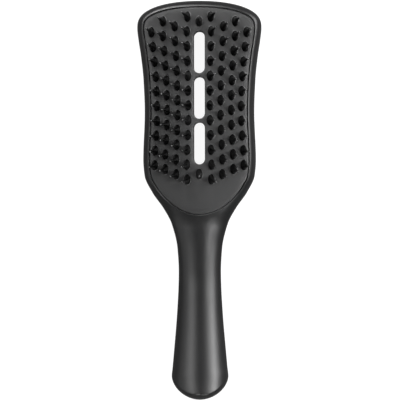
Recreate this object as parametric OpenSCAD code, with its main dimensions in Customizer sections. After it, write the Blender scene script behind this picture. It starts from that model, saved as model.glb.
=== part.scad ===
// Vented hair brush, lying on its back with the teeth up.
// X runs across the brush, Y from the butt of the handle to the crown of the head, Z up.
// The origin is under the middle of the brush, on the surface that it lies on.

/* [Overall] */
// Length of the brush, from the crown of the head to the butt of the handle
brush_l = 228; // [212:1:250]
// Thickness of the walls of both shells
wall = 2.2; // [1.8:0.1:2.4]
// Height of the plane in which the two shells meet
parting_z = 7.5; // [7:0.1:8.5]
// Play between pieces that fit into each other
fit = 0.15; // [0.1:0.05:0.2]
// Height of the tongue of the back shell, which enters the front shell
tongue_h = 1.2; // [0.8:0.1:1.5]

/* [Head] */
// Width of the head at its shoulders, the widest place
head_w = 71; // [66:0.2:76]
// Width of the head at its waist
head_waist_w = 62.6; // [60:0.2:65]
// Width of the head at its hips, above the neck
head_hip_w = 64.4; // [62:0.2:68]
// Length of the rounded crown, down to the shoulders
crown_l = 15.5; // [14:0.5:18]
// Distance from the crown to the waist of the head
head_waist_d = 63.6; // [58:0.2:70]
// Distance from the crown to the hips of the head
head_hip_d = 91; // [88:0.5:95]
// Height of the rim at the middle of the head
crest_z = 19.5; // [18:0.1:22]
// Radius of the arch of the head along its length
arch_r = 700; // [500:10:900]

/* [Handle] */
// Distance from the crown to the waist of the handle
grip_waist_d = 155; // [148:1:165]
// Width of the handle at its waist
grip_waist_w = 24.1; // [21:0.1:27]
// Height of the front of the handle at its waist
grip_waist_z = 16.4; // [15:0.1:17.5]
// Width of the handle at the butt
butt_w = 32.4; // [28:0.2:36]
// Height of the front of the handle at the butt
butt_z = 20.5; // [18:0.1:22]
// Length of the rounded butt
butt_l = 13.6; // [11:0.2:16]
// How far the front of the handle rises towards the pad
neck_rise = 0.4; // [0:0.1:1.2]
// How far the back of the neck stands off the surface
neck_lift = 2; // [1:0.1:3]

/* [Tooth pad] */
// Width of the rim round the pad
rim_w = 3.6; // [3.3:0.1:4]
// Width of the groove between the rim and the pad
groove_w = 0.4; // [0.25:0.05:0.5]
// Thickness of the pad
pad_t = 2; // [1.6:0.1:2.4]
// How far the pad lies below the lip of the rim
pad_drop = 0.4; // [0.1:0.1:0.8]
// Thickness of the lip of the rim, which holds the pad's flange down
lip_t = 1.8; // [1.4:0.1:2.2]
// Thickness of the pad's flange
flange_t = 1.2; // [0.8:0.1:1.6]
// Thickness of the wall in the back shell that the pad sits on
seat_t = 1.4; // [1:0.1:2]
// How far the pad reaches down the neck, as a share of the way from the hips to the handle's waist
pad_reach = 0.49; // [0.46:0.005:0.5]

/* [Vents] */
// Number of vent slots
slot_n = 3; // [2:1:3]
// Length of a vent slot
slot_l = 23.9; // [20:0.1:24]
// Width of a vent slot
slot_w = 6.4; // [5:0.1:6.8]
// Web between two slots
slot_web = 2.1; // [2:0.1:3]
// Distance from the crown to the first slot
slot_d = 17.6; // [17:0.1:18.4]
// Thickness of the collar round the slots, inside the back shell
collar_t = 1.2; // [1:0.1:1.6]

/* [Teeth] */
// Height of a tooth above the pad
tooth_h = 13.5; // [10:0.5:16]
// Distance between teeth in a column
tooth_pitch = 8.42; // [8.2:0.02:8.5]
// Distance between columns at the head's waist
column_pitch = 6.1; // [6:0.02:6.2]
// How much further apart the columns are at the neck
neck_spread = 0.8; // [0:0.1:1.2]
// Radius on which the teeth fan out along the head
fan_r = 320; // [280:5:400]
// Outward lean of the teeth on each side, in degrees
tooth_lean = 12; // [0:0.5:16]
// Radius of a tooth at its root, across the brush
tooth_root_r = 2; // [1.6:0.05:2.1]
// Radius of a tooth at its tip
tooth_tip_r = 0.42; // [0.3:0.02:0.6]

/* [Hidden] */

body_black = [0.09, 0.09, 0.095];
pad_black = [0.13, 0.13, 0.135];

// Shape of the outline: each curve runs from one named width to the next,
// as [share of the distance, share of the change in width].
SHOULDER_TO_WAIST = [[0, 0], [0.14, 0.165], [0.33, 0.495], [0.62, 0.84], [1, 1]];
HIP_TO_GRIP = [[0, 0], [0.14, 0.037], [0.29, 0.257], [0.43, 0.57], [0.57, 0.803], [0.79, 0.965], [1, 1]];
GRIP_TO_BUTT = [[0, 0], [0.15, 0.048], [0.31, 0.167], [0.46, 0.31], [0.77, 0.69], [0.92, 0.885], [1, 1]];
// Rise of the front of the grip to the butt
GRIP_RISE = [[0, 0], [0.27, 0.24], [0.66, 0.64], [1, 1], [1.3, 1.32]];
CROWN_POWERS = [2.1, 2.6];
BUTT_POWERS = [1.9, 1.8];
CHIN_POWERS = [1.9, 1.3];
// Squareness of the rim's section at the head; at the neck it has turned into an ellipse, 2
RIM_POWER = 2.5;

// Run of the rounded edges, measured inwards from the outline
rim_run = 5;
back_run = 10;
butt_run = 4.5;

// Places along the brush, as distances from the crown: the neck runs from the hips of the head
// to the waist of the handle, and the grip from there to the butt
function neck_d(t) = head_hip_d + (grip_waist_d - head_hip_d) * t;
function grip_d(t) = grip_waist_d + (butt_d - grip_waist_d) * t;
butt_d = brush_l - butt_l;
pad_hip_d = neck_d(0.14);
pad_chin_d = neck_d(pad_reach);
arch_d = pad_chin_d / 2;
dome_start_d = neck_d(0.2);
dome_end_d = neck_d(0.6);
neck_start_d = neck_d(0.44);
neck_end_d = neck_d(0.64);

// The pad's flange reaches under the lip, almost to the wall of the front shell
flange_grow = rim_w - wall - fit;
slot_pitch = slot_l + slot_web;
pad_under = max(pad_drop + pad_t, lip_t + fit + flange_t);
seat_inset = 2.4;

// Teeth: [distance from the crown to the first tooth in tooth pitches, number of teeth,
// distance from the middle in column pitches], from the middle column out
COLUMNS = [[1.116, 12, 1], [1.77, 11, 2], [1.425, 11, 3], [2.16, 10, 3.94]];
MIDDLE_TEETH = [1.437, 11.746];
// Rings of a tooth: [share of the height, share of the root radius, length of the oval over its width]
TOOTH_RINGS = [[0.04, 0.88, 1.4], [0.16, 0.66, 1.4], [0.45, 0.42, 1.2]];
tooth_sides = 8;
tooth_flare = 1.12;
tooth_oval = 1.36;

// Resolution of the shells, and the angle at which their round sides run into the middle
crown_steps = 9;
side_steps = 30;
butt_steps = 7;
outer_steps = 5;
inner_steps = 3;
last_a = 80;

function mix(a, b, t) = a + (b - a) * t;
function share(a, b, x) = (x - a) / (b - a);
function ease(t) = t <= 0 ? 0 : t >= 1 ? 1 : t * t * (3 - 2 * t);
function y_of(d) = brush_l / 2 - d;

// Smooth curve through points [x, y] that never overshoots them
function span_of(p, x, i = 0) = i >= len(p) - 2 || x < p[i + 1][0] ? i : span_of(p, x, i + 1);
function rise(p, i) = (p[i + 1][1] - p[i][1]) / (p[i + 1][0] - p[i][0]);
function tangent(p, i) =
    i == 0 || i == len(p) - 1 || rise(p, i - 1) * rise(p, i) <= 0 ? 0
    : 2 * rise(p, i - 1) * rise(p, i) / (rise(p, i - 1) + rise(p, i));
function curve(p, x) =
    let (i = span_of(p, x), h = p[i + 1][0] - p[i][0],
         t = min(1, max(0, (x - p[i][0]) / h)), u = 1 - t)
    u * u * (1 + 2 * t) * p[i][1] + t * t * (1 + 2 * u) * p[i + 1][1]
    + t * u * h * (u * tangent(p, i) - t * tangent(p, i + 1));

// Width of the brush at a distance from the crown, and half of it
function width(d) =
    d <= head_waist_d
    ? mix(head_w, head_waist_w, curve(SHOULDER_TO_WAIST, share(crown_l, head_waist_d, d)))
    : d <= head_hip_d
    ? mix(head_waist_w, head_hip_w, ease(share(head_waist_d, head_hip_d, d)))
    : d <= grip_waist_d
    ? mix(head_hip_w, grip_waist_w, curve(HIP_TO_GRIP, share(head_hip_d, grip_waist_d, d)))
    : mix(grip_waist_w, butt_w, curve(GRIP_TO_BUTT, share(grip_waist_d, butt_d, d)));
function half_width(d) = width(d) / 2;

// Height of the arch of the head, and of the front and the back of the brush on its middle line
function arch_z(y, r = arch_r) = crest_z - arch_r + sqrt(r * r - pow(y - y_of(arch_d), 2));
function front_z(d) =
    let (grip = d < grip_waist_d
         ? grip_waist_z + neck_rise * pow(share(grip_waist_d, pad_chin_d, max(d, pad_chin_d)), 2)
         : mix(grip_waist_z, butt_z, curve(GRIP_RISE, share(grip_waist_d, butt_d, d))))
    mix(arch_z(y_of(min(d, neck_end_d))), grip, ease(share(neck_start_d, neck_end_d, d)));
function back_z(d) =
    d <= neck_d(0.84)
    ? neck_lift * ease(share(neck_d(0.1), neck_d(0.84), d))
    : neck_lift * ease(share(grip_d(0.9), neck_d(0.84), d));

// A quarter of a superellipse, from its end on the middle line (0) to its side (90)
function bow(a, w, h, pw, ph) = [w * pow(sin(a), 2 / pw), h * pow(cos(a), 2 / ph)];

// Stations down the right-hand side, each as [outer point, inner point, distance at the inner point,
// squareness of the front's section]. skin is the depth below the outer surface, run the width of
// the rounded edge in the head, and full the share to which the rounded edge has grown to the
// middle line. At the butt the section stays that of the handle's end, and two more values give
// its half width there and how far in the end is rounded.
function crown_station(a, skin, run) =
    let (o = bow(a, head_w / 2 - skin, crown_l - skin, CROWN_POWERS[0], CROWN_POWERS[1]),
         i = bow(a, head_w / 2 - run, crown_l - run, CROWN_POWERS[0], CROWN_POWERS[1]))
    [[o[0], y_of(crown_l - o[1])], [i[0], y_of(crown_l - i[1])], crown_l - i[1], RIM_POWER];
function side_station(d, skin, run) =
    let (w = half_width(d), full = ease(share(dome_start_d, dome_end_d, d)))
    [[w - skin, y_of(d)], [(w - run) * (1 - full), y_of(d)], d, mix(RIM_POWER, 2, full)];
function butt_station(a, skin) =
    let (o = bow(a, butt_w / 2 - skin, butt_l - skin, BUTT_POWERS[0], BUTT_POWERS[1]),
         d = butt_d + (butt_l - butt_run - skin / 2) * pow(cos(a), 2 / BUTT_POWERS[1]))
    [[o[0], y_of(butt_d + o[1])], [0, y_of(d)], d, 2, butt_w / 2 - skin, butt_run * cos(a)];
function stations(skin, run) = concat(
    [for (i = [0 : crown_steps - 1]) crown_station(90 * i / crown_steps, skin, run)],
    [for (i = [0 : side_steps]) side_station(mix(crown_l, butt_d, i / side_steps), skin, run)],
    [for (i = [butt_steps - 1 : -1 : 0]) butt_station(90 * i / butt_steps, skin)]);

// A ring of points round a half of the brush, at one depth below its outer surface.
// side is 1 for the front and -1 for the back. The ring lies at angle a up the round side,
// or where h is given at that height over the parting plane.
function run_at(run, skin) = max(run - skin / 2, skin + 1);
function section_point(s, side, skin, a, h) =
    let (top = (side > 0 ? front_z(s[2]) : back_z(s[2])) - side * skin,
         n = side > 0 ? s[3] : 2, last = pow(sin(last_a), 2 / n),
         level = is_undef(h) ? pow(sin(a), 2 / n) : last * h / (top - parting_z),
         t = 1 - pow(1 - pow(level, n), 1 / n),
         x = mix(s[0][0], s[1][0], t), y = mix(s[0][1], s[1][1], t),
         in = len(s) > 4 ? min(1, t * norm(s[1] - s[0]) / max(s[5], 0.1)) : 1,
         up = len(s) > 4 ? sqrt(1 - pow(x / s[4], 2)) * sqrt(1 - pow(1 - in, 2)) : level)
    [x, y, is_undef(h) ? mix(parting_z, top, min(1, up / last)) : parting_z + h];
function ring(side, run, skin, a, h) =
    let (list = stations(skin, run_at(run, skin)), n = len(list),
         right = [for (s = list) section_point(s, side, skin, a, h)])
    concat(right, [for (i = [n - 2 : -1 : 1]) [-right[i][0], right[i][1], right[i][2]]]);

// Faces of a skin: the bands between its rings, and the strip that closes a ring
function band_faces(n, rings) =
    [for (j = [0 : rings - 2]) for (k = [0 : n - 1])
        let (a = j * n + k, b = j * n + (k + 1) % n) each [[a, b, b + n], [a, b + n, a + n]]];
function strip_faces(first, n) =
    let (h = n / 2)
    concat([[first, first + 1, first + n - 1]],
           [for (i = [1 : h - 2]) each [[first + i, first + i + 1, first + n - i],
                                        [first + i + 1, first + n - i - 1, first + n - i]]],
           [[first + h - 1, first + h, first + h + 1]]);
function flip(faces) = [for (f = faces) [f[2], f[1], f[0]]];

// A solid from rings that run from its inner face, over its edge, to its outer face
module ring_solid(rings, side) {
    n = len(rings[0]);
    faces = concat(flip(strip_faces(0, n)), band_faces(n, len(rings)), strip_faces(n * (len(rings) - 1), n));
    polyhedron([for (r = rings) each r], side > 0 ? faces : flip(faces), convexity = 8);
}

// The hollow half shells: the tongue of the back one enters the lap of the front one
lap = (wall - fit) / 2;
module front_half() {
    ring_solid(concat(
        [for (j = [inner_steps : -1 : 1]) ring(1, rim_run, wall, mix(18, last_a, j / inner_steps))],
        [ring(1, rim_run, wall, 0, tongue_h + fit), ring(1, rim_run, lap, 0, tongue_h + fit),
         ring(1, rim_run, lap, 0)],
        [for (j = [0 : outer_steps]) ring(1, rim_run, 0, last_a * j / outer_steps)]), 1);
}
module back_half() {
    ring_solid(concat(
        [for (j = [inner_steps : -1 : 0]) ring(-1, back_run, wall, last_a * j / inner_steps)],
        [ring(1, rim_run, wall, 0, tongue_h), ring(1, rim_run, lap + fit, 0, tongue_h),
         ring(1, rim_run, lap + fit, 0)],
        [for (j = [0 : outer_steps]) ring(-1, back_run, 0, last_a * j / outer_steps)]), -1);
}

// Outline of the pad's opening, drawn in by inset
function pad_half(inset) =
    let (side = rim_w + inset, hip_w = half_width(pad_hip_d) - side, chin_l = pad_chin_d - pad_hip_d - inset)
    concat(
        [for (i = [0 : crown_steps - 1]) let (p = bow(90 * i / crown_steps, head_w / 2 - side,
            crown_l - side, CROWN_POWERS[0], CROWN_POWERS[1])) [p[0], y_of(crown_l - p[1])]],
        [for (i = [0 : 16]) let (d = mix(crown_l, pad_hip_d, i / 16)) [half_width(d) - side, y_of(d)]],
        [for (i = [11 : -1 : 0]) let (p = bow(90 * i / 12, hip_w, chin_l, CHIN_POWERS[0], CHIN_POWERS[1]))
            [p[0], y_of(pad_hip_d + p[1])]]);
module pad_outline(inset = 0) {
    right = pad_half(inset);
    n = len(right);
    polygon(concat(right, [for (i = [n - 2 : -1 : 1]) [-right[i][0], right[i][1]]]));
}

// Everything under the arch, at a depth below the pad's face
module under_arch(depth, w = 1.2 * head_w) {
    translate([-w / 2, y_of(arch_d), crest_z - arch_r]) rotate([0, 90, 0])
        cylinder(r = arch_r - depth, h = w, $fn = 720);
}
module slab(inset, low, depth) {
    intersection() {
        translate([0, 0, low]) linear_extrude(crest_z) pad_outline(inset);
        under_arch(depth);
    }
}

module long_hole(d, w, l) {
    r = w / 2;
    translate([0, y_of(d) - r]) circle(r, $fn = 48);
    translate([0, y_of(d) - l + r]) circle(r, $fn = 48);
    translate([-r, y_of(d) - l + r]) square([w, l - w]);
}
module collar_outline() {
    long_hole(slot_d - collar_t, slot_w + 2 * collar_t, slot_n * slot_pitch - slot_web + 2 * collar_t);
}
module slots() {
    translate([0, 0, -1]) linear_extrude(crest_z + 2)
        for (i = [0 : slot_n - 1]) long_hole(slot_d + i * slot_pitch, slot_w, slot_l);
}

module front_shell() {
    color(body_black) difference() {
        front_half();
        translate([0, 0, parting_z - 1]) linear_extrude(crest_z) pad_outline();
        slab(-flange_grow - fit, parting_z - 1, lip_t);
    }
}

// The back shell carries the pad on a wall near the pad's edge and on a collar round the vents
module back_shell() {
    color(body_black) difference() {
        union() {
            back_half();
            intersection() {
                translate([0, 0, wall / 2]) linear_extrude(crest_z) {
                    difference() {
                        pad_outline(seat_inset);
                        pad_outline(seat_inset + seat_t);
                    }
                    collar_outline();
                }
                under_arch(pad_under);
            }
        }
        slots();
    }
}

// A tooth: rings of an oval cone that leans along its height
module tooth(x, y, lean) {
    rings = concat([[-0.06, tooth_flare, tooth_oval]], TOOTH_RINGS, [[0.97, tooth_tip_r / tooth_root_r, 1]]);
    n = tooth_sides;
    base = arch_z(y) - pad_drop;
    points = concat(
        [for (r = rings) for (k = [0 : n - 1]) let (a = 360 * (k + 0.5) / n, h = r[0] * tooth_h)
            [x + lean[0] * h + r[1] * tooth_root_r * cos(a),
             y + lean[1] * h + r[1] * tooth_root_r * r[2] * sin(a), base + h]],
        [[x + lean[0] * tooth_h, y + lean[1] * tooth_h, base + tooth_h]]);
    last = n * (len(rings) - 1);
    polyhedron(points, concat(
        [[for (k = [0 : n - 1]) k]],
        [for (j = [0 : len(rings) - 2]) for (k = [0 : n - 1])
            let (a = j * n + k, b = j * n + (k + 1) % n) each [[a, a + n, b], [b, a + n, b + n]]],
        [for (k = [0 : n - 1]) [last + k, len(points) - 1, last + (k + 1) % n]]));
}

// The columns follow the outline of the head, and part a little at the neck
function head_share(d) =
    half_width(max(d, crown_l)) / (head_waist_w / 2)
    * (d < crown_l ? pow(1 - pow(1 - d / crown_l, CROWN_POWERS[1]), 1 / CROWN_POWERS[0]) : 1);
function fan(y) = (y - y_of(arch_d)) / fan_r;
module teeth() {
    for (column = COLUMNS) for (i = [0 : column[1] - 1]) for (side = [-1, 1]) {
        d = (column[0] + i) * tooth_pitch;
        x = column[2] * column_pitch * head_share(d)
            + neck_spread * ease(share(head_waist_d, neck_d(0.19), d));
        tooth(side * x, y_of(d), [side * tan(tooth_lean), fan(y_of(d))]);
    }
    for (i = MIDDLE_TEETH) tooth(0, y_of(i * tooth_pitch), [0, fan(y_of(i * tooth_pitch))]);
}

module tooth_pad() {
    color(pad_black) {
        difference() {
            union() {
                slab(groove_w, 0, pad_drop);
                slab(-flange_grow, 0, lip_t + fit);
            }
            under_arch(pad_under);
            slots();
        }
        teeth();
    }
}

front_shell();
back_shell();
tooth_pad();
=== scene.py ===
"""Vented hair brush of satin black plastic, lying on its back with its teeth up.

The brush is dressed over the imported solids: two hollow shells that meet along a parting plane,
and a moulded pad with leaning teeth. X runs across the brush, Y from the butt to the crown and
Z up. Sizes are in millimetres until a mesh is made.
"""

import logging
import math
import random
from dataclasses import dataclass, field
from enum import Enum
from typing import Callable, Optional, Sequence

import bmesh
import bpy
import numpy as np
from mathutils import Matrix, Vector
from mathutils.geometry import delaunay_2d_cdt


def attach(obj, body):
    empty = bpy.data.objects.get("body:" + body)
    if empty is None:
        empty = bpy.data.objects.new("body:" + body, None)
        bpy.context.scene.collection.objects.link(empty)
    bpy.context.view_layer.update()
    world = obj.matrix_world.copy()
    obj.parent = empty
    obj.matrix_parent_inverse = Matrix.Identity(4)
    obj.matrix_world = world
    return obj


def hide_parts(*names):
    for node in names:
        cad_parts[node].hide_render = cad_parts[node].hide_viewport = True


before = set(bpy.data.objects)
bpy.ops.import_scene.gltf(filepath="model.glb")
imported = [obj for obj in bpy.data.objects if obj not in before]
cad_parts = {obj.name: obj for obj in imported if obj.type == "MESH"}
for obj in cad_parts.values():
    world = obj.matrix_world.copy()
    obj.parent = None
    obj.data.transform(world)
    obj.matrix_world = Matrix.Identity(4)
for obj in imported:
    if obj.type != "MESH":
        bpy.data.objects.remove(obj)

LOG = logging.getLogger("vent_brush")
MM = 0.001
WELD = 2e-6
SLIVER = 1e-6

Point2 = tuple[float, float]
Point3 = tuple[float, float, float]
Curve = Sequence[Point2]


class Half(Enum):
    """Which half of the body a skin belongs to."""

    FRONT = 1
    BACK = -1


class Stretch(Enum):
    """Which stretch of the outline a station lies on."""

    CROWN = "crown"
    SIDE = "side"
    CHIN = "chin"
    BUTT = "butt"


def mix(a: float, b: float, t: float) -> float:
    """Blend from a to b."""
    return a + (b - a) * t


def share(a: float, b: float, x: float) -> float:
    """Tell how far x lies from a towards b."""
    return (x - a) / (b - a)


def ease(t: float) -> float:
    """Smooth step from 0 to 1, level at both ends."""
    t = min(1.0, max(0.0, t))
    return t * t * (3.0 - 2.0 * t)


def curve(points: Curve, x: float) -> float:
    """Read a smooth curve that passes through points and never overshoots them.

    Args:
        points: Points (x, y) in order of x.
        x: Where to read the curve.

    Returns:
        The curve's height at x.
    """
    last = len(points) - 1
    i = 0
    while i < last - 1 and x >= points[i + 1][0]:
        i += 1

    def rise(k: int) -> float:
        """Slope of span k."""
        return (points[k + 1][1] - points[k][1]) / (points[k + 1][0] - points[k][0])

    def tangent(k: int) -> float:
        """Slope of the curve at point k."""
        if k in (0, last) or rise(k - 1) * rise(k) <= 0:
            return 0.0
        return 2 * rise(k - 1) * rise(k) / (rise(k - 1) + rise(k))

    h = points[i + 1][0] - points[i][0]
    t = min(1.0, max(0.0, (x - points[i][0]) / h))
    u = 1 - t
    return (u * u * (1 + 2 * t) * points[i][1] + t * t * (1 + 2 * u) * points[i + 1][1]
            + t * u * h * (u * tangent(i) - t * tangent(i + 1)))


def bow(angle: float, w: float, h: float, pw: float, ph: float) -> Point2:
    """Walk a quarter of a superellipse.

    Args:
        angle: Degrees from its end on the middle line (0) to its side (90).
        w: Half width.
        h: Height.
        pw: Power across.
        ph: Power along.

    Returns:
        The point as (across, along).
    """
    a = math.radians(angle)
    return w * max(0.0, math.sin(a)) ** (2 / pw), h * max(0.0, math.cos(a)) ** (2 / ph)


@dataclass(frozen=True)
class Station:
    """One cross section of the right-hand half of the body.

    power is the squareness of the section, 2 for an ellipse. At the butt the section stays that
    of the handle's end: half_w is its half width there, and edge tells how far in the end is
    rounded.
    """

    outer: Point2
    inner: Point2
    at: float
    power: float = 2.0
    half_w: float = 0.0
    edge: float = 0.0


@dataclass(frozen=True)
class Row:
    """Where a cross section is taken, and what it ends on.

    on is the stretch that shapes the section and value its angle or distance. rim_on and
    rim_value give the matching point of the pad's opening, where there is one.
    """

    on: Stretch
    value: float
    rim_on: Optional[Stretch] = None
    rim_value: float = 0.0


@dataclass(frozen=True)
class BrushForm:
    """Sizes of the brush in millimetres, and the curves that follow from them."""

    brush_l: float = 228.0
    wall: float = 2.2
    parting_z: float = 7.5
    fit: float = 0.15
    head_w: float = 71.0
    head_waist_w: float = 62.6
    head_hip_w: float = 64.4
    crown_l: float = 15.5
    head_waist_d: float = 63.6
    head_hip_d: float = 91.0
    crest_z: float = 19.5
    arch_r: float = 700.0
    fan_r: float = 320.0
    grip_waist_d: float = 155.0
    grip_waist_w: float = 24.1
    grip_waist_z: float = 16.4
    butt_w: float = 32.4
    butt_z: float = 20.5
    butt_l: float = 13.6
    neck_lift: float = 2.0
    neck_rise: float = 0.4
    rim_w: float = 3.6
    groove_w: float = 0.4
    pad_t: float = 2.0
    pad_drop: float = 0.4
    pad_fall: float = 0.03
    pad_ridge: float = 5.0
    lip_t: float = 1.8
    flange_t: float = 1.2
    pad_reach: float = 0.49
    slot_n: int = 3
    slot_l: float = 23.9
    slot_w: float = 6.4
    slot_web: float = 2.1
    slot_d: float = 17.6
    collar_t: float = 1.2
    rim_run: float = 5.0
    back_run: float = 10.0
    butt_run: float = 4.5
    crown_powers: Point2 = (2.1, 2.6)
    butt_powers: Point2 = (1.9, 1.8)
    chin_powers: Point2 = (1.9, 1.3)
    rim_power: float = 2.5
    shoulder_to_waist: Curve = ((0, 0), (0.14, 0.165), (0.33, 0.495), (0.62, 0.84), (1, 1))
    hip_to_grip: Curve = ((0, 0), (0.14, 0.037), (0.29, 0.257), (0.43, 0.57), (0.57, 0.803),
                          (0.79, 0.965), (1, 1))
    grip_rise: Curve = ((0, 0), (0.27, 0.24), (0.66, 0.64), (1, 1), (1.3, 1.32))
    grip_to_butt: Curve = ((0, 0), (0.15, 0.048), (0.31, 0.167), (0.46, 0.31), (0.77, 0.69),
                           (0.92, 0.885), (1, 1))

    def neck_d(self, t: float) -> float:
        """Distance from the crown at a share of the neck."""
        return mix(self.head_hip_d, self.grip_waist_d, t)

    def grip_d(self, t: float) -> float:
        """Distance from the crown at a share of the grip."""
        return mix(self.grip_waist_d, self.butt_d, t)

    @property
    def butt_d(self) -> float:
        """Distance from the crown to where the butt begins to round."""
        return self.brush_l - self.butt_l

    @property
    def pad_hip_d(self) -> float:
        """Distance from the crown to where the pad's chin begins."""
        return self.neck_d(0.14)

    @property
    def pad_chin_d(self) -> float:
        """Distance from the crown to the pad's lowest point."""
        return self.neck_d(self.pad_reach)

    @property
    def dome_ds(self) -> Point2:
        """Distances from the crown between which the sections grow into the full round."""
        return self.neck_d(0.2), self.neck_d(0.6)

    @property
    def neck_ds(self) -> Point2:
        """Distances from the crown between which the head's arch runs into the grip."""
        return self.neck_d(0.44), self.neck_d(0.64)

    @property
    def arch_d(self) -> float:
        """Distance from the crown to the top of the arch."""
        return self.pad_chin_d / 2

    @property
    def pad_under(self) -> float:
        """Depth of the pad's underside below the arch."""
        return max(self.pad_drop + self.pad_t, self.lip_t + self.fit + self.flange_t)

    @property
    def flange_grow(self) -> float:
        """How far the pad's flange reaches under the lip."""
        return self.rim_w - self.wall - self.fit

    def y(self, d: float) -> float:
        """Turn a distance from the crown into a place along Y."""
        return self.brush_l / 2 - d

    def half_width(self, d: float) -> float:
        """Half the width of the brush.

        Args:
            d: Distance from the crown, behind the round of the crown.

        Returns:
            The half width.
        """
        if d <= self.head_waist_d:
            t = curve(self.shoulder_to_waist, share(self.crown_l, self.head_waist_d, d))
            return mix(self.head_w, self.head_waist_w, t) / 2
        if d <= self.head_hip_d:
            t = ease(share(self.head_waist_d, self.head_hip_d, d))
            return mix(self.head_waist_w, self.head_hip_w, t) / 2
        if d <= self.grip_waist_d:
            t = curve(self.hip_to_grip, share(self.head_hip_d, self.grip_waist_d, d))
            return mix(self.head_hip_w, self.grip_waist_w, t) / 2
        t = curve(self.grip_to_butt, share(self.grip_waist_d, self.butt_d, d))
        return mix(self.grip_waist_w, self.butt_w, t) / 2

    def arch_z(self, y: float) -> float:
        """Height of the head's arch at a place along Y."""
        return self.crest_z - self.arch_r + math.sqrt(self.arch_r ** 2 - (y - self.y(self.arch_d)) ** 2)

    def pad_z(self, x: float, y: float) -> float:
        """Height of the pad's face, which falls a little to both sides of its middle."""
        fall = self.pad_fall * (math.hypot(x, self.pad_ridge) - self.pad_ridge)
        return self.arch_z(y) - self.pad_drop - fall

    def front_z(self, d: float) -> float:
        """Height of the front of the brush on its middle line.

        Args:
            d: Distance from the crown.

        Returns:
            The height, which runs from the head's arch over the neck to the grip.
        """
        if d < self.grip_waist_d:
            lift = share(self.grip_waist_d, self.pad_chin_d, max(d, self.pad_chin_d)) ** 2
            grip = self.grip_waist_z + self.neck_rise * lift
        else:
            grip = mix(self.grip_waist_z, self.butt_z,
                       curve(self.grip_rise, share(self.grip_waist_d, self.butt_d, d)))
        return mix(self.arch_z(self.y(min(d, self.neck_ds[1]))), grip, ease(share(*self.neck_ds, d)))

    def back_z(self, d: float) -> float:
        """Height of the back of the brush on its middle line."""
        low, high, end = self.neck_d(0.1), self.neck_d(0.84), self.grip_d(0.9)
        return self.neck_lift * (ease(share(low, high, d)) if d <= high else ease(share(end, high, d)))

    def station(self, row: Row, half: Half, skin: float) -> Station:
        """Take a cross section.

        Args:
            row: Where it is taken.
            half: The front or the back of the body.
            skin: Depth below the outer surface.

        Returns:
            The station's outer point, inner point and distance from the crown.
        """
        run = self.rim_run if half is Half.FRONT else self.back_run
        run = max(run - skin / 2, skin + 1)
        square = self.rim_power if half is Half.FRONT else 2.0
        if row.on is Stretch.CROWN:
            o = bow(row.value, self.head_w / 2 - skin, self.crown_l - skin, *self.crown_powers)
            i = bow(row.value, self.head_w / 2 - run, self.crown_l - run, *self.crown_powers)
            return Station((o[0], self.y(self.crown_l - o[1])), (i[0], self.y(self.crown_l - i[1])),
                           self.crown_l - i[1], square)
        if row.on is Stretch.BUTT:
            pw, ph = self.butt_powers
            o = bow(row.value, self.butt_w / 2 - skin, self.butt_l - skin, pw, ph)
            d = self.butt_d + bow(row.value, 1, self.butt_l - self.butt_run - skin / 2, pw, ph)[1]
            return Station((o[0], self.y(self.butt_d + o[1])), (0.0, self.y(d)), d, 2.0,
                           self.butt_w / 2 - skin,
                           max(0.1, self.butt_run * math.cos(math.radians(row.value))))
        d, w = row.value, self.half_width(row.value)
        full = ease(share(*self.dome_ds, d))
        return Station((w - skin, self.y(d)), ((w - run) * (1 - full), self.y(d)), d,
                       mix(square, 2.0, full))

    def rim_point(self, row: Row, inset: float) -> Point2:
        """Find a row's point on the outline of the pad's opening.

        Args:
            row: A row that ends on the opening.
            inset: How far the outline is drawn in.

        Returns:
            The point on the right-hand side.
        """
        side = self.rim_w + inset
        if row.rim_on is Stretch.CROWN:
            x, h = bow(row.rim_value, self.head_w / 2 - side, self.crown_l - side, *self.crown_powers)
            return x, self.y(self.crown_l - h)
        if row.rim_on is Stretch.CHIN:
            pw, ph = self.chin_powers
            x, h = bow(row.rim_value, self.half_width(self.pad_hip_d) - side,
                       self.pad_chin_d - self.pad_hip_d - inset, pw, ph)
            return x, self.y(self.pad_hip_d + h)
        return self.half_width(row.rim_value) - side, self.y(row.rim_value)

    def rows(self, lip_r: float) -> list[Row]:
        """List the cross sections from the crown to the butt.

        Args:
            lip_r: Radius of the rounded lip of the pad's opening.

        Returns:
            The rows; those beside the opening come first and name their point on it.
        """
        crown, sides, chin, neck, butt = 44, 96, 26, 120, 26
        found = [Row(Stretch.CROWN, a, Stretch.CROWN, a) for a in np.linspace(0, 90, crown)[:-1]]
        found += [Row(Stretch.SIDE, d, Stretch.SIDE, d)
                  for d in np.linspace(self.crown_l, self.pad_hip_d, sides)[:-1]]
        for a in np.linspace(90, 0, chin):
            edge = self.rim_point(Row(Stretch.SIDE, 0, Stretch.CHIN, a), -lip_r)
            found.append(Row(Stretch.SIDE, self.y(0) - edge[1], Stretch.CHIN, a))
        start = found[-1].value
        found += [Row(Stretch.SIDE, d) for d in np.linspace(start, self.butt_d, neck)[1:]]
        found += [Row(Stretch.BUTT, a) for a in np.linspace(90, 0, butt)[1:]]
        return found

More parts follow.
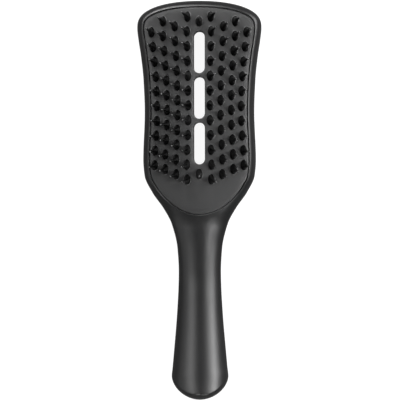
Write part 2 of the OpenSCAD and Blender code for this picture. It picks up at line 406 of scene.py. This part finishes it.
    def long_hole(self, index: int, grow: float, steps: int = 14) -> list[Point2]:
        """Outline a vent slot, or with index -1 the block of all slots.

        Args:
            index: Number of the slot from the crown.
            grow: How much wider the outline is all round.
            steps: Points on each round end.

        Returns:
            The outline's points in order.
        """
        pitch = self.slot_l + self.slot_web
        top = self.y(self.slot_d + max(index, 0) * pitch)
        length = self.slot_l if index >= 0 else self.slot_n * pitch - self.slot_web
        r0 = self.slot_w / 2
        r = r0 + grow
        ends = ((top - r0, 0.0), (top - length + r0, 180.0))
        outline = [(r * math.cos(math.radians(a + t)), y + r * math.sin(math.radians(a + t)))
                   for y, a in ends for t in np.linspace(0, 180, steps)]
        return outline


class MeshDraft:
    """Points in millimetres and faces of a mesh in the making."""

    def __init__(self) -> None:
        """Start empty."""
        self.points: list[Point3] = []
        self.faces: list[tuple[int, ...]] = []
        self.changes: list[tuple[int, int]] = []

    def finish_with(self, index: int) -> None:
        """Give the faces that follow the finish of this number."""
        self.changes.append((len(self.faces), index))

    def add(self, points: Sequence[Point3]) -> list[int]:
        """Add points.

        Args:
            points: Places of the points.

        Returns:
            The points' numbers.
        """
        first = len(self.points)
        self.points.extend(points)
        return list(range(first, len(self.points)))

    def band(self, a: Sequence[int], b: Sequence[int], closed: bool = False) -> None:
        """Join two rows of points of the same length with quads.

        Args:
            a: The first row.
            b: The second row.
            closed: Whether the rows are rings.
        """
        n = len(a)
        for k in range(n if closed else n - 1):
            m = (k + 1) % n
            self.faces.append((a[k], a[m], b[m], b[k]))

    def grid(self, rows: Sequence[Sequence[int]], closed: bool = False) -> None:
        """Join a list of rows of points."""
        for a, b in zip(rows, rows[1:]):
            self.band(a, b, closed)

    def fan(self, ring: Sequence[int], tip: int) -> None:
        """Close a ring with triangles to a point."""
        for k in range(len(ring)):
            self.faces.append((ring[k], ring[(k + 1) % len(ring)], tip))

    def patch(self, outline: Sequence[int], holes: Sequence[Sequence[int]],
              height: Callable[[float, float], float], spacing: float) -> None:
        """Fill an outline that has holes, with inner points laid on a grid.

        Args:
            outline: Numbers of the outline's points in order.
            holes: The same for each hole.
            height: Height of the surface at a place (x, y).
            spacing: Distance between the inner points.
        """
        loops = [list(outline), *[list(h) for h in holes]]
        numbers = [i for loop in loops for i in loop]
        flat = [(self.points[i][0], self.points[i][1]) for i in numbers]
        edges, first = [], 0
        for loop in loops:
            n = len(loop)
            edges += [(first + k, first + (k + 1) % n) for k in range(n)]
            first += n
        rings = [np.array([(self.points[i][0], self.points[i][1]) for i in loop]) for loop in loops]
        low, high = rings[0].min(axis=0), rings[0].max(axis=0)
        xs = np.arange(low[0] + spacing / 2, high[0], spacing)
        ys = np.arange(low[1] + spacing / 2, high[1], spacing)
        inner = [(x, y) for y in ys for x in xs
                 if inside(x, y, rings[0]) and not any(inside(x, y, r) for r in rings[1:])
                 and min(gap_to(x, y, r) for r in rings) > 0.55 * spacing]
        found = delaunay_2d_cdt([Vector(p) for p in flat + inner], edges, [], 0, 1e-7)
        points, triangles, origin = found[0], found[2], found[3]
        numbers += self.add([(x, y, height(x, y)) for x, y in inner])
        for triangle in triangles:
            x = sum(points[i][0] for i in triangle) / 3
            y = sum(points[i][1] for i in triangle) / 3
            if inside(x, y, rings[0]) and not any(inside(x, y, r) for r in rings[1:]):
                self.faces.append(tuple(numbers[origin[i][0]] for i in triangle))

    def mirror(self) -> None:
        """Add the left-hand half as the mirror image of what there is."""
        first = len(self.points)
        self.points += [(-x, y, z) for x, y, z in self.points]
        self.faces += [tuple(first + i for i in reversed(f)) for f in self.faces]

    def build(self, name: str, materials: Sequence[bpy.types.Material],
              crease: float = 38.0) -> bpy.types.Object:
        """Make a smooth object of the draft.

        Args:
            name: The object's name.
            materials: Its finishes.
            crease: Edges sharper than this angle in degrees stay sharp.

        Returns:
            The object, linked to the scene.
        """
        bm = bmesh.new()
        verts = [bm.verts.new((x * MM, y * MM, z * MM)) for x, y, z in self.points]
        for number, face in enumerate(self.faces):
            if len(set(face)) == len(face):
                try:
                    laid = bm.faces.new([verts[i] for i in face])
                except ValueError:
                    continue
                laid.material_index = next((k for start, k in reversed(self.changes) if start <= number), 0)
        bmesh.ops.remove_doubles(bm, verts=bm.verts, dist=WELD)
        bmesh.ops.dissolve_degenerate(bm, edges=bm.edges, dist=SLIVER)
        loose = [v for v in bm.verts if not v.link_faces]
        bmesh.ops.delete(bm, geom=loose, context="VERTS")
        bmesh.ops.recalc_face_normals(bm, faces=bm.faces)
        mesh = bpy.data.meshes.new(name)
        bm.to_mesh(mesh)
        bm.free()
        for material in materials:
            mesh.materials.append(material)
        mesh.polygons.foreach_set("use_smooth", [True] * len(mesh.polygons))
        mesh.set_sharp_from_angle(angle=math.radians(crease))
        made = bpy.data.objects.new(name, mesh)
        bpy.context.scene.collection.objects.link(made)
        return made


def inside(x: float, y: float, ring: np.ndarray) -> bool:
    """Tell whether a point lies inside a closed outline.

    Args:
        x: Place of the point across.
        y: Place of the point along.
        ring: The outline's points in order.

    Returns:
        Whether it lies inside.
    """
    a, b = ring, np.roll(ring, -1, axis=0)
    crosses = (a[:, 1] > y) != (b[:, 1] > y)
    rise = np.where(crosses, b[:, 1] - a[:, 1], 1.0)
    at = a[:, 0] + (y - a[:, 1]) * (b[:, 0] - a[:, 0]) / rise
    return bool(np.count_nonzero(crosses & (x < at)) % 2)


def gap_to(x: float, y: float, ring: np.ndarray) -> float:
    """Distance from a point to the nearest point of an outline."""
    return float(np.hypot(ring[:, 0] - x, ring[:, 1] - y).min())


@dataclass(frozen=True)
class MouldedPlastic:
    """A moulded black plastic with a fine spark-eroded grain and a little handling wear.

    spread is how far the roughness wanders, at wipe_scale, and tint_range how dark and light the
    colour gets, at cloud_scale. grain is the strength of the grain and grain_depth its depth in
    metres.
    """

    name: str
    colour: tuple[float, float, float]
    roughness: float
    spread: float
    grain: float
    grain_scale: float
    specular: float = 0.5
    coat: float = 0.0
    coat_roughness: float = 0.2
    cloud_scale: float = 38.0
    tint_range: Point2 = (0.9, 1.12)
    wipe_scale: float = 160.0
    grain_depth: float = 0.00012

    def material(self) -> bpy.types.Material:
        """Build the material with its nodes.

        Returns:
            The material, with its tint, gloss and grain.
        """
        made = bpy.data.materials.new(self.name)
        made.use_nodes = True
        made.diffuse_color = (*self.colour, 1.0)
        nodes, links = made.node_tree.nodes, made.node_tree.links
        shader = next(n for n in nodes if n.type == "BSDF_PRINCIPLED")
        shader.inputs["Specular IOR Level"].default_value = self.specular
        shader.inputs["Coat Weight"].default_value = self.coat
        shader.inputs["Coat Roughness"].default_value = self.coat_roughness
        place = nodes.new("ShaderNodeTexCoord")

        cloud = nodes.new("ShaderNodeTexNoise")
        cloud.inputs["Scale"].default_value = self.cloud_scale
        cloud.inputs["Detail"].default_value = 3.0
        links.new(place.outputs["Object"], cloud.inputs["Vector"])
        tint = nodes.new("ShaderNodeValToRGB")
        for stop, position, strength in zip(tint.color_ramp.elements, (0.3, 0.7), self.tint_range):
            stop.position = position
            stop.color = (*[c * strength for c in self.colour], 1.0)
        links.new(cloud.outputs["Fac"], tint.inputs["Fac"])
        links.new(tint.outputs["Color"], shader.inputs["Base Color"])

        wipe = nodes.new("ShaderNodeTexNoise")
        wipe.inputs["Scale"].default_value = self.wipe_scale
        wipe.inputs["Detail"].default_value = 4.0
        links.new(place.outputs["Object"], wipe.inputs["Vector"])
        gloss = nodes.new("ShaderNodeMapRange")
        gloss.inputs["To Min"].default_value = self.roughness - self.spread
        gloss.inputs["To Max"].default_value = self.roughness + self.spread
        links.new(wipe.outputs["Fac"], gloss.inputs["Value"])
        links.new(gloss.outputs["Result"], shader.inputs["Roughness"])

        pits = nodes.new("ShaderNodeTexVoronoi")
        pits.inputs["Scale"].default_value = self.grain_scale
        links.new(place.outputs["Object"], pits.inputs["Vector"])
        fine = nodes.new("ShaderNodeTexNoise")
        fine.inputs["Scale"].default_value = self.grain_scale * 0.6
        fine.inputs["Detail"].default_value = 2.0
        links.new(place.outputs["Object"], fine.inputs["Vector"])
        both = nodes.new("ShaderNodeMix")
        both.data_type = "FLOAT"
        both.inputs["Factor"].default_value = 0.5
        links.new(pits.outputs["Distance"], both.inputs["A"])
        links.new(fine.outputs["Fac"], both.inputs["B"])
        bump = nodes.new("ShaderNodeBump")
        bump.inputs["Strength"].default_value = self.grain
        bump.inputs["Distance"].default_value = self.grain_depth
        links.new(both.outputs["Result"], bump.inputs["Height"])
        links.new(bump.outputs["Normal"], shader.inputs["Normal"])
        return made


@dataclass
class Body:
    """The two hollow shells of the body: front with the rim and the grip, back with the vents.

    lip_r rounds the lip of the pad's opening, which grows to chin_lip_r between two angles of the
    chin, and seam the edges where the shells meet. flat_ends tells how far past the crown's round
    and past the vents the flat of the back begins and ends, and the spacings are those of the
    points laid in it and on the collar.
    """

    form: BrushForm
    finish: MouldedPlastic
    lip_r: float = 0.22
    chin_lip_r: float = 0.5
    chin_angles: Point2 = (80.0, 40.0)
    seam: float = 0.16
    round_steps: int = 26
    slot_r: float = 0.5
    patch_w: float = 8.0
    flat_ends: Point2 = (0.5, 1.0)
    flat_spacing: float = 4.0
    collar_spacing: float = 6.0
    rows: list[Row] = field(default_factory=list)
    material: Optional[bpy.types.Material] = None

    def prepare(self) -> None:
        """Lay out the cross sections and make the finish."""
        self.rows = self.form.rows(self.lip_r)
        self.material = self.finish.material()

    def section(self, row: Row, half: Half, skin: float, end: Point2, steps: int) -> list[Point3]:
        """Follow a skin from the parting plane to a point inwards.

        Args:
            row: Where the section is taken.
            half: The front or the back of the body.
            skin: Depth below the outer surface.
            end: Plan point that the section ends over.
            steps: Number of spans.

        Returns:
            The section's points.
        """
        f = self.form
        s = f.station(row, half, skin)
        run = math.dist(s.outer, s.inner)
        way = math.dist(s.outer, end)
        top = (f.front_z(s.at) if half is Half.FRONT else f.back_z(s.at)) - half.value * skin
        points = []
        for j in range(steps + 1):
            g = 1 - math.cos(math.pi / 2 * j / steps)
            x, y = mix(s.outer[0], end[0], g), mix(s.outer[1], end[1], g)
            if s.half_w > 0:
                t = min(1.0, g * way / s.edge)
                up = math.sqrt(max(0.0, (1 - (x / s.half_w) ** 2) * (1 - (1 - t) ** 2)))
            else:
                t = min(1.0, g * way / max(run, 1e-6))
                up = max(0.0, 1 - (1 - t) ** s.power) ** (1 / s.power)
            points.append((x, y, mix(f.parting_z, top, up)))
        return points

    def seamed(self, points: list[Point3], inner: Point2, half: Half) -> list[Point3]:
        """Round the edge of an outer section where the shells meet.

        Args:
            points: The section, which starts on the parting plane.
            inner: Plan point that the section runs towards.
            half: The front or the back of the body.

        Returns:
            The section with its rounded start.
        """
        (x, y, z), toward = points[0], Vector(inner) - Vector(points[0][:2])
        step = toward.normalized() * self.seam if toward.length > 1e-6 else Vector((0.0, 0.0))
        start = [(x + step.x, y + step.y, z),
                 (x + step.x * 0.3, y + step.y * 0.3, z + half.value * self.seam * 0.7)]
        return start + [(p[0], p[1], z + half.value * max(half.value * (p[2] - z), self.seam * 1.3))
                        for p in points]

    def lip(self, row: Row) -> float:
        """Radius of the opening's rounded lip.

        Args:
            row: A row that ends on the opening.

        Returns:
            The radius there.
        """
        if row.rim_on is not Stretch.CHIN:
            return self.lip_r
        return mix(self.lip_r, self.chin_lip_r, ease(share(*self.chin_angles, row.rim_value)))

    def front(self) -> bpy.types.Object:
        """Build the front shell, with the rounded lip round the pad's opening.

        Returns:
            The shell, in place of its solid.
        """
        f, draft = self.form, MeshDraft()
        outer, wall_rows, inner = [], [], []
        arc = [math.radians(a) for a in (0, 22, 45, 68, 90)]
        for row in self.rows:
            s = f.station(row, Half.FRONT, 0.0)
            rim = row.rim_on is not None
            lip_r = self.lip(row)
            end = f.rim_point(row, -lip_r) if rim else (0.0, s.inner[1])
            points = self.section(row, Half.FRONT, 0.0, end, self.round_steps)
            top = points[-1][2]
            ids = draft.add(self.seamed(points, end, Half.FRONT))
            outer.append(ids)
            if rim:
                lip = [(*f.rim_point(row, -lip_r * (1 - math.sin(a))),
                        top - lip_r * (1 - math.cos(a))) for a in arc[1:]]
                low = (*f.rim_point(row, 0.0), top - f.lip_t)
                wall_rows.append([ids[-1], *draft.add([*lip, low])])
                floor = (low[0], low[1])
            else:
                floor = (0.0, s.inner[1])
            under = self.section(row, Half.FRONT, f.wall, floor, 10)
            if rim:
                under = [(x, y, min(z, top - f.lip_t)) for x, y, z in under]
                inner.append([*draft.add(under[:-1]), wall_rows[-1][-1]])
            else:
                inner.append(draft.add(under))
        draft.grid(outer)
        draft.grid(wall_rows)
        draft.grid(inner)
        draft.band([r[0] for r in outer], [r[0] for r in inner])
        draft.mirror()
        made = draft.build("front_shell_skin", [self.material])
        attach(made, "root")
        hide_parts("front_shell")
        return made

    def back_skin(self, draft: MeshDraft, skin: float, holes: Sequence[Sequence[Point2]],
                  seamed: bool) -> tuple[list[list[int]], list[list[int]]]:
        """Lay one skin of the back shell, with holes in the flat of the head.

        Args:
            draft: The mesh in the making; it gets both halves.
            skin: Depth below the outer surface.
            holes: Outlines of the holes in the flat.
            seamed: Whether its edge is rounded for the seam.

        Returns:
            The rows of point numbers of the right-hand half, and the loops of the holes.
        """
        f = self.form
        flat_from = f.crown_l + self.flat_ends[0]
        flat_to = f.slot_d + f.slot_n * (f.slot_l + f.slot_web) + self.flat_ends[1]
        sides = []
        for sign in (1, -1):
            full, rim = [], []
            for row in self.rows:
                s = f.station(row, Half.BACK, skin)
                middle = (min(self.patch_w, 0.5 * s.outer[0]), s.inner[1])
                to_middle = self.section(row, Half.BACK, skin, (0.0, s.inner[1]), self.round_steps)
                in_flat = row.on is Stretch.SIDE and flat_from <= row.value <= flat_to
                points = self.section(row, Half.BACK, skin, middle, self.round_steps)
                if seamed:
                    points = self.seamed(points, middle, Half.BACK)
                depth = to_middle[-1][2]
                ids = draft.add([(sign * x, y, z) for x, y, z in points])
                tail = [] if in_flat else draft.add(
                    [(sign * mix(middle[0], 0.0, j / 6), s.inner[1],
                      mix(points[-1][2], depth, math.sin(math.pi / 2 * j / 6))) for j in range(1, 7)])
                full.append((ids, [ids[-1], *tail], in_flat))
                rim.append(ids)
            for a, b in zip(full, full[1:]):
                draft.band(a[0], b[0])
                if not (a[2] and b[2]) and len(a[1]) == len(b[1]):
                    draft.band(a[1], b[1])
            sides.append(full)
        flat = [k for k, part in enumerate(sides[0]) if part[2]]
        start, end = flat[0] - 1, flat[-1] + 1
        right, left = sides
        loop = [right[k][0][-1] for k in range(start, end + 1)]
        loop += right[end][1][1:]
        loop += list(reversed(left[end][1][1:-1]))
        loop += [left[k][0][-1] for k in range(end, start - 1, -1)]
        loop += left[start][1][1:]
        loop += list(reversed(right[start][1][1:-1]))
        z = draft.points[right[flat[0]][0][-1]][2]
        for i in loop:
            x, y, _ = draft.points[i]
            draft.points[i] = (x, y, z)
        loops = [draft.add([(x, y, z) for x, y in hole]) for hole in holes]
        draft.patch(loop, loops, lambda _x, _y: z, self.flat_spacing)
        return [[part[0] for part in side] for side in sides], loops

    def back(self) -> bpy.types.Object:
        """Build the back shell, with the vents and the collar round them.

        Returns:
            The shell, in place of its solid.
        """
        f, draft = self.form, MeshDraft()
        slots = [f.long_hole(i, self.slot_r) for i in range(f.slot_n)]
        outer, mouths = self.back_skin(draft, 0.0, slots, True)
        inner, block = self.back_skin(draft, f.wall, [f.long_hole(-1, f.collar_t)], False)
        for a, b in zip(outer, inner):
            draft.band([r[0] for r in a], [r[0] for r in b])

        def seat(_x: float, y: float) -> float:
            """Height of the collar's top, right under the pad."""
            return f.arch_z(y) - f.pad_under

        tops = []
        for i, mouth in enumerate(mouths):
            rings = [mouth]
            for a in (30, 60, 90):
                t = math.radians(a)
                rings.append(draft.add([(x, y, self.slot_r * (1 - math.cos(t)))
                                        for x, y in f.long_hole(i, self.slot_r * (1 - math.sin(t)))]))
            rings.append(draft.add([(x, y, seat(x, y)) for x, y in f.long_hole(i, 0.0)]))
            draft.grid(rings, closed=True)
            tops.append(rings[-1])
        collar = draft.add([(x, y, seat(x, y)) for x, y in f.long_hole(-1, f.collar_t)])
        draft.grid([block[0], collar], closed=True)
        draft.patch(collar, tops, seat, self.collar_spacing)
        made = draft.build("back_shell_skin", [self.material])
        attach(made, "root")
        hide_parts("back_shell")
        return made


@dataclass(frozen=True)
class Tooth:
    """One tooth: where its root stands and how it leans."""

    x: float
    y: float
    lean: Point2


@dataclass
class ToothPad:
    """The moulded pad with its vents and its field of leaning teeth.

    The teeth are smoother than the pad's face, and their colour is painted darker than the pad's,
    as painted shade on their steep sides; their tips are polished. profile gives a tooth's radius
    across over its height, and oval how much longer it is along the head. sink is how deep its foot
    stands in the face, and heel the depth of the point that closes it. A column is given by its
    first tooth and its place across, in pitches, and its number of teeth. The spacings are those of
    the points laid in the pad's face and underside.
    """

    form: BrushForm
    finish: MouldedPlastic
    # finish of the teeth, whose darker colour is painted shade
    shaded_tooth_finish: MouldedPlastic
    tip_finish: MouldedPlastic
    height: float = 13.5
    pitch: float = 8.42
    column_pitch: float = 6.1
    lean_deg: float = 12.0
    tip_r: float = 0.44
    tip_flat: float = 0.6
    edge_r: float = 0.45
    sides: int = 20
    neck_spread: float = 0.8
    wander: float = 0.022
    columns: Sequence[tuple[float, int, float]] = (
        (1.116, 12, 1), (1.77, 11, 2), (1.425, 11, 3), (2.16, 10, 3.94))
    middle: Sequence[float] = (1.437, 11.746)
    root_r: float = 0.5
    sink: float = 0.03
    heel: float = 0.6
    bend: float = 0.35
    shaft_rings: int = 13
    tip_angles: Sequence[float] = (25.0, 48.0, 70.0)
    face_spacing: float = 2.4
    under_spacing: float = 5.0
    profile: Curve = ((0.0, 1.92), (0.45, 1.89), (1.3, 1.68), (2.2, 1.53), (4.0, 1.24), (6.1, 0.96),
                      (9.0, 0.7), (13.24, 0.44))
    oval: Curve = ((0.0, 1.6), (0.45, 1.58), (1.3, 1.5), (2.2, 1.42), (6.1, 1.25), (13.24, 1.0))

    def field_teeth(self) -> list[Tooth]:
        """Place the teeth in mirrored columns that follow the outline of the head.

        Returns:
            The teeth, column by column from the middle, and then those on the middle line.
        """
        f = self.form
        chance = random.Random(11)
        found = []

        def lean(side: float, y: float) -> Point2:
            """Lean of a tooth at y, with a touch of moulding wander."""
            return (side * math.tan(math.radians(self.lean_deg)) + chance.uniform(-1, 1) * self.wander,
                    (y - f.y(f.arch_d)) / f.fan_r + chance.uniform(-1, 1) * self.wander)

        for start, count, place in self.columns:
            for i in range(count):
                d = (start + i) * self.pitch
                w = f.half_width(max(d, f.crown_l)) / (f.head_waist_w / 2)
                if d < f.crown_l:
                    across, along = f.crown_powers
                    w *= (1 - (1 - d / f.crown_l) ** along) ** (1 / across)
                x = place * self.column_pitch * w
                x += self.neck_spread * ease(share(f.head_waist_d, f.neck_d(0.19), d))
                for side in (-1, 1):
                    found.append(Tooth(side * x, f.y(d), lean(side, f.y(d))))
        for step in self.middle:
            y = f.y(step * self.pitch)
            found.append(Tooth(0.0, y, lean(0.0, y)))
        return found

    def add_tooth(self, draft: MeshDraft, tooth: Tooth) -> None:
        """Add one tooth, from its root fillet to its round tip.

        Args:
            draft: The mesh in the making.
            tooth: The tooth to add.
        """
        f = self.form
        base = f.pad_z(tooth.x, tooth.y)
        foot, oval = curve(self.profile, self.root_r), curve(self.oval, self.root_r)
        rings: list[tuple[float, float, float]] = []
        for a in np.linspace(0, 80, 6):
            t = math.radians(a)
            grow = self.root_r * (1 - math.sin(t))
            rings.append((self.root_r * (1 - math.cos(t)) - self.sink, foot + grow,
                          (foot * oval + grow) / (foot + grow)))
        fillet = len(rings)
        body_top = self.height - self.tip_r * self.tip_flat
        for h in np.geomspace(1.3 * self.root_r, body_top, self.shaft_rings):
            rings.append((h, curve(self.profile, h), curve(self.oval, h)))
        for a in self.tip_angles:
            t = math.radians(a)
            rings.append((body_top + self.tip_r * self.tip_flat * math.sin(t),
                          self.tip_r * math.cos(t), 1.0))
        made = []
        for h, r, oval in rings:
            s = h / self.height
            cx = tooth.x + tooth.lean[0] * h * (1 - self.bend * (1 - s) * 0.5)
            cy = tooth.y + tooth.lean[1] * h
            made.append(draft.add([
                (cx + r * math.cos(2 * math.pi * k / self.sides),
                 cy + r * oval * math.sin(2 * math.pi * k / self.sides), base + h)
                for k in range(self.sides)]))
        polished = len(made) - len(self.tip_angles) - 2
        draft.finish_with(0)
        draft.grid(made[:fillet], closed=True)
        draft.finish_with(1)
        draft.grid(made[fillet - 1:polished + 1], closed=True)
        draft.finish_with(2)
        draft.grid(made[polished:], closed=True)
        tip = draft.add([(tooth.x + tooth.lean[0] * self.height, tooth.y + tooth.lean[1] * self.height,
                          base + self.height)])
        draft.fan(made[-1], tip[0])
        heel = draft.add([(tooth.x, tooth.y, base - self.heel)])
        draft.fan(list(reversed(made[0])), heel[0])

    def build(self) -> bpy.types.Object:
        """Build the pad and its teeth as the one moulding that it is.

        Returns:
            The pad, in place of its solid.
        """
        f, draft = self.form, MeshDraft()
        rim = [r for r in f.rows(self.edge_r) if r.rim_on is not None]

        def plan(inset: float) -> list[Point2]:
            """Give the pad's outline."""
            right = [f.rim_point(r, inset) for r in rim]
            return right + [(-x, y) for x, y in reversed(right[1:-1])]

        def outline(inset: float, depth: float) -> list[int]:
            """Lay the pad's outline, at a depth below the arch."""
            return draft.add([(x, y, f.arch_z(y) - depth) for x, y in plan(inset)])

        def under(_x: float, y: float) -> float:
            """Height of the pad's underside."""
            return f.arch_z(y) - f.pad_under

        arc = [math.radians(a) for a in (0, 30, 60, 90)]
        e = self.edge_r
        edge = [draft.add([(x, y, f.pad_z(x, y) - e * (1 - math.cos(t)))
                           for x, y in plan(f.groove_w + e * (1 - math.sin(t)))]) for t in arc]
        edge.append(outline(f.groove_w, f.lip_t + f.fit))
        edge.append(outline(-f.flange_grow, f.lip_t + f.fit))
        edge.append(outline(-f.flange_grow, f.pad_under))
        draft.grid(edge, closed=True)
        top_holes, low_holes = [], []
        for i in range(f.slot_n):
            rings = [draft.add([(x, y, f.pad_z(x, y) - e * (1 - math.cos(t)))
                                for x, y in f.long_hole(i, e * (1 - math.sin(t)))]) for t in arc]
            rings.append(draft.add([(x, y, f.arch_z(y) - f.pad_under) for x, y in f.long_hole(i, 0.0)]))
            draft.grid(rings, closed=True)
            top_holes.append(rings[0])
            low_holes.append(rings[-1])
        draft.patch(edge[0], top_holes, f.pad_z, self.face_spacing)
        draft.patch(edge[-1], low_holes, under, self.under_spacing)
        for tooth in self.field_teeth():
            self.add_tooth(draft, tooth)
        finishes = [one.material() for one in (self.finish, self.shaded_tooth_finish, self.tip_finish)]
        made = draft.build("tooth_pad_moulding", finishes, crease=50.0)
        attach(made, "root")
        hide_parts("tooth_pad")
        return made


@dataclass(frozen=True)
class Lamp:
    """A softbox that faces a place on the brush's middle line.

    side_deg and along_deg are its angles from overhead, towards +X and towards the crown. size is
    its width across the brush and its length along it, away its distance and over the place that
    it faces, from the middle towards the crown, all in metres. power is in watts. spread_deg is
    the angle that its grid lets the light out in.
    """

    name: str
    side_deg: float
    along_deg: float
    size: Point2
    power: float
    away: float
    over: float = 0.0
    spread_deg: float = 180.0

    def hang(self) -> bpy.types.Object:
        """Hang the lamp in the scene.

        Returns:
            The lamp's object.
        """
        data = bpy.data.lights.new(self.name, "AREA")
        data.shape = "RECTANGLE"
        data.size, data.size_y = self.size
        data.energy = self.power
        data.spread = math.radians(self.spread_deg)
        made = bpy.data.objects.new(self.name, data)
        made.matrix_world = (Matrix.Translation((0.0, self.over, 0.0))
                             @ Matrix.Rotation(math.radians(-self.along_deg), 4, "X")
                             @ Matrix.Rotation(math.radians(self.side_deg), 4, "Y")
                             @ Matrix.Translation((0.0, 0.0, self.away)))
        bpy.context.scene.collection.objects.link(made)
        return made


LAMPS = (
    Lamp("softbox_left", -36, 38, (1.6, 3.2), 73, 3.0),
    Lamp("panel_left", -60, -35, (1.4, 1.4), 5, 1.5),
    Lamp("softbox_right", 50, 39, (2.3, 3.2), 184, 3.0),
    Lamp("gridded_head", 32, -10, (0.08, 0.12), 0.025, 0.4, over=0.06, spread_deg=22),
    Lamp("gridded_butt", 50, 8, (0.06, 0.08), 0.0078, 0.26, over=-0.112, spread_deg=30),
    Lamp("gridded_end", -27, 10, (0.08, 0.08), 0.0033, 0.3, over=-0.112, spread_deg=28),
    Lamp("softbox_crown", -14, 60, (0.5, 0.5), 20, 1.5),
    Lamp("softbox_butt", 10, -66, (1.1, 0.5), 17, 1.5),
)


@dataclass
class Studio:
    """The pale floor, the lamps and the camera high over the brush."""

    distance: float = 3.0
    frame_h: float = 0.2286
    aim: Point3 = (0.00018, 0.00016, 0.0085)
    tilt_deg: float = 1.2
    turn_deg: float = -0.115
    floor_grey: float = 0.1
    floor_pale: float = 0.14
    floor_glow: float = 0.93
    floor_half: float = 3.0
    world_strength: float = 0.02
    lamps: Sequence[Lamp] = LAMPS

    def camera(self) -> bpy.types.Object:
        """Hang the camera over the brush, a little to its right.

        Returns:
            The camera, which the scene renders with.
        """
        data = bpy.data.cameras.new("camera")
        data.sensor_width = 36.0
        data.sensor_fit = "HORIZONTAL"
        data.lens = data.sensor_width * self.distance / self.frame_h
        data.clip_end = 20.0
        eye = bpy.data.objects.new("camera", data)
        tilt = math.radians(self.tilt_deg)
        eye.matrix_world = (Matrix.Translation(self.aim) @ Matrix.Rotation(tilt, 4, "Y")
                            @ Matrix.Rotation(math.radians(self.turn_deg), 4, "Z")
                            @ Matrix.Translation((0.0, 0.0, self.distance)))
        bpy.context.scene.collection.objects.link(eye)
        bpy.context.scene.camera = eye
        return eye

    def floor(self) -> bpy.types.Object:
        """Lay the floor, which the camera sees as near white and the brush as a dark grey.

        Returns:
            The floor's object.
        """
        made = bpy.data.materials.new("studio_floor")
        made.use_nodes = True
        nodes, links = made.node_tree.nodes, made.node_tree.links
        nodes.clear()
        out = nodes.new("ShaderNodeOutputMaterial")
        path = nodes.new("ShaderNodeLightPath")
        grey = nodes.new("ShaderNodeBsdfDiffuse")
        grey.inputs["Color"].default_value = (*[self.floor_grey] * 3, 1.0)
        pale = nodes.new("ShaderNodeBsdfDiffuse")
        pale.inputs["Color"].default_value = (*[self.floor_pale] * 3, 1.0)
        glow = nodes.new("ShaderNodeEmission")
        glow.inputs["Strength"].default_value = self.floor_glow
        seen = nodes.new("ShaderNodeAddShader")
        links.new(pale.outputs[0], seen.inputs[0])
        links.new(glow.outputs[0], seen.inputs[1])
        pick = nodes.new("ShaderNodeMixShader")
        links.new(path.outputs["Is Camera Ray"], pick.inputs["Fac"])
        links.new(grey.outputs[0], pick.inputs[1])
        links.new(seen.outputs[0], pick.inputs[2])
        links.new(pick.outputs[0], out.inputs["Surface"])
        mesh = bpy.data.meshes.new("floor")
        s = self.floor_half
        mesh.from_pydata([(-s, -s, 0), (s, -s, 0), (s, s, 0), (-s, s, 0)], [], [(0, 1, 2, 3)])
        mesh.materials.append(made)
        slab = bpy.data.objects.new("floor", mesh)
        bpy.context.scene.collection.objects.link(slab)
        return slab

    def light(self) -> None:
        """Hang the lamps and set the even light of the room."""
        for lamp in self.lamps:
            lamp.hang()
        world = bpy.data.worlds.new("room")
        world.use_nodes = True
        back = world.node_tree.nodes["Background"]
        back.inputs["Color"].default_value = (1.0, 1.0, 1.0, 1.0)
        back.inputs["Strength"].default_value = self.world_strength
        bpy.context.scene.world = world
        bpy.context.scene.view_settings.view_transform = "Standard"


BODY_BLACK = MouldedPlastic("satin_black_body", (0.004, 0.004, 0.0042), 0.38, 0.03, 0.05, 5200.0)
PAD_BLACK = MouldedPlastic("soft_black_pad", (0.0055, 0.0055, 0.0057), 0.48, 0.03, 0.08, 6400.0, 0.76)
# Teeth: one moulding with the pad, with a smoother finish; their colour is painted darker than the pad's,
# as painted shade on their steep sides.
SHADED_TOOTH_BLACK = MouldedPlastic("smooth_teeth_painted_shade", (0.0007, 0.0007, 0.0007), 0.26, 0.02, 0.02, 7000.0,
                             0.08)
TIP_BLACK = MouldedPlastic("polished_tips", (0.003, 0.003, 0.0031), 0.2, 0.02, 0.0, 7000.0, 0.9, 0.2, 0.1)


def main() -> None:
    """Build the studio and the brush in order and log each piece's number of faces."""
    logging.basicConfig(level=logging.INFO, format="%(name)s: %(message)s")
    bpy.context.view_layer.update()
    studio = Studio()
    studio.camera()
    studio.floor()
    studio.light()
    form = BrushForm()
    body = Body(form, BODY_BLACK)
    body.prepare()
    pieces = [body.front(), body.back(), ToothPad(form, PAD_BLACK, SHADED_TOOTH_BLACK, TIP_BLACK).build()]
    for piece in pieces:
        LOG.info("%s: %d faces", piece.name, len(piece.data.polygons))


if __name__ == "__main__":
    main()
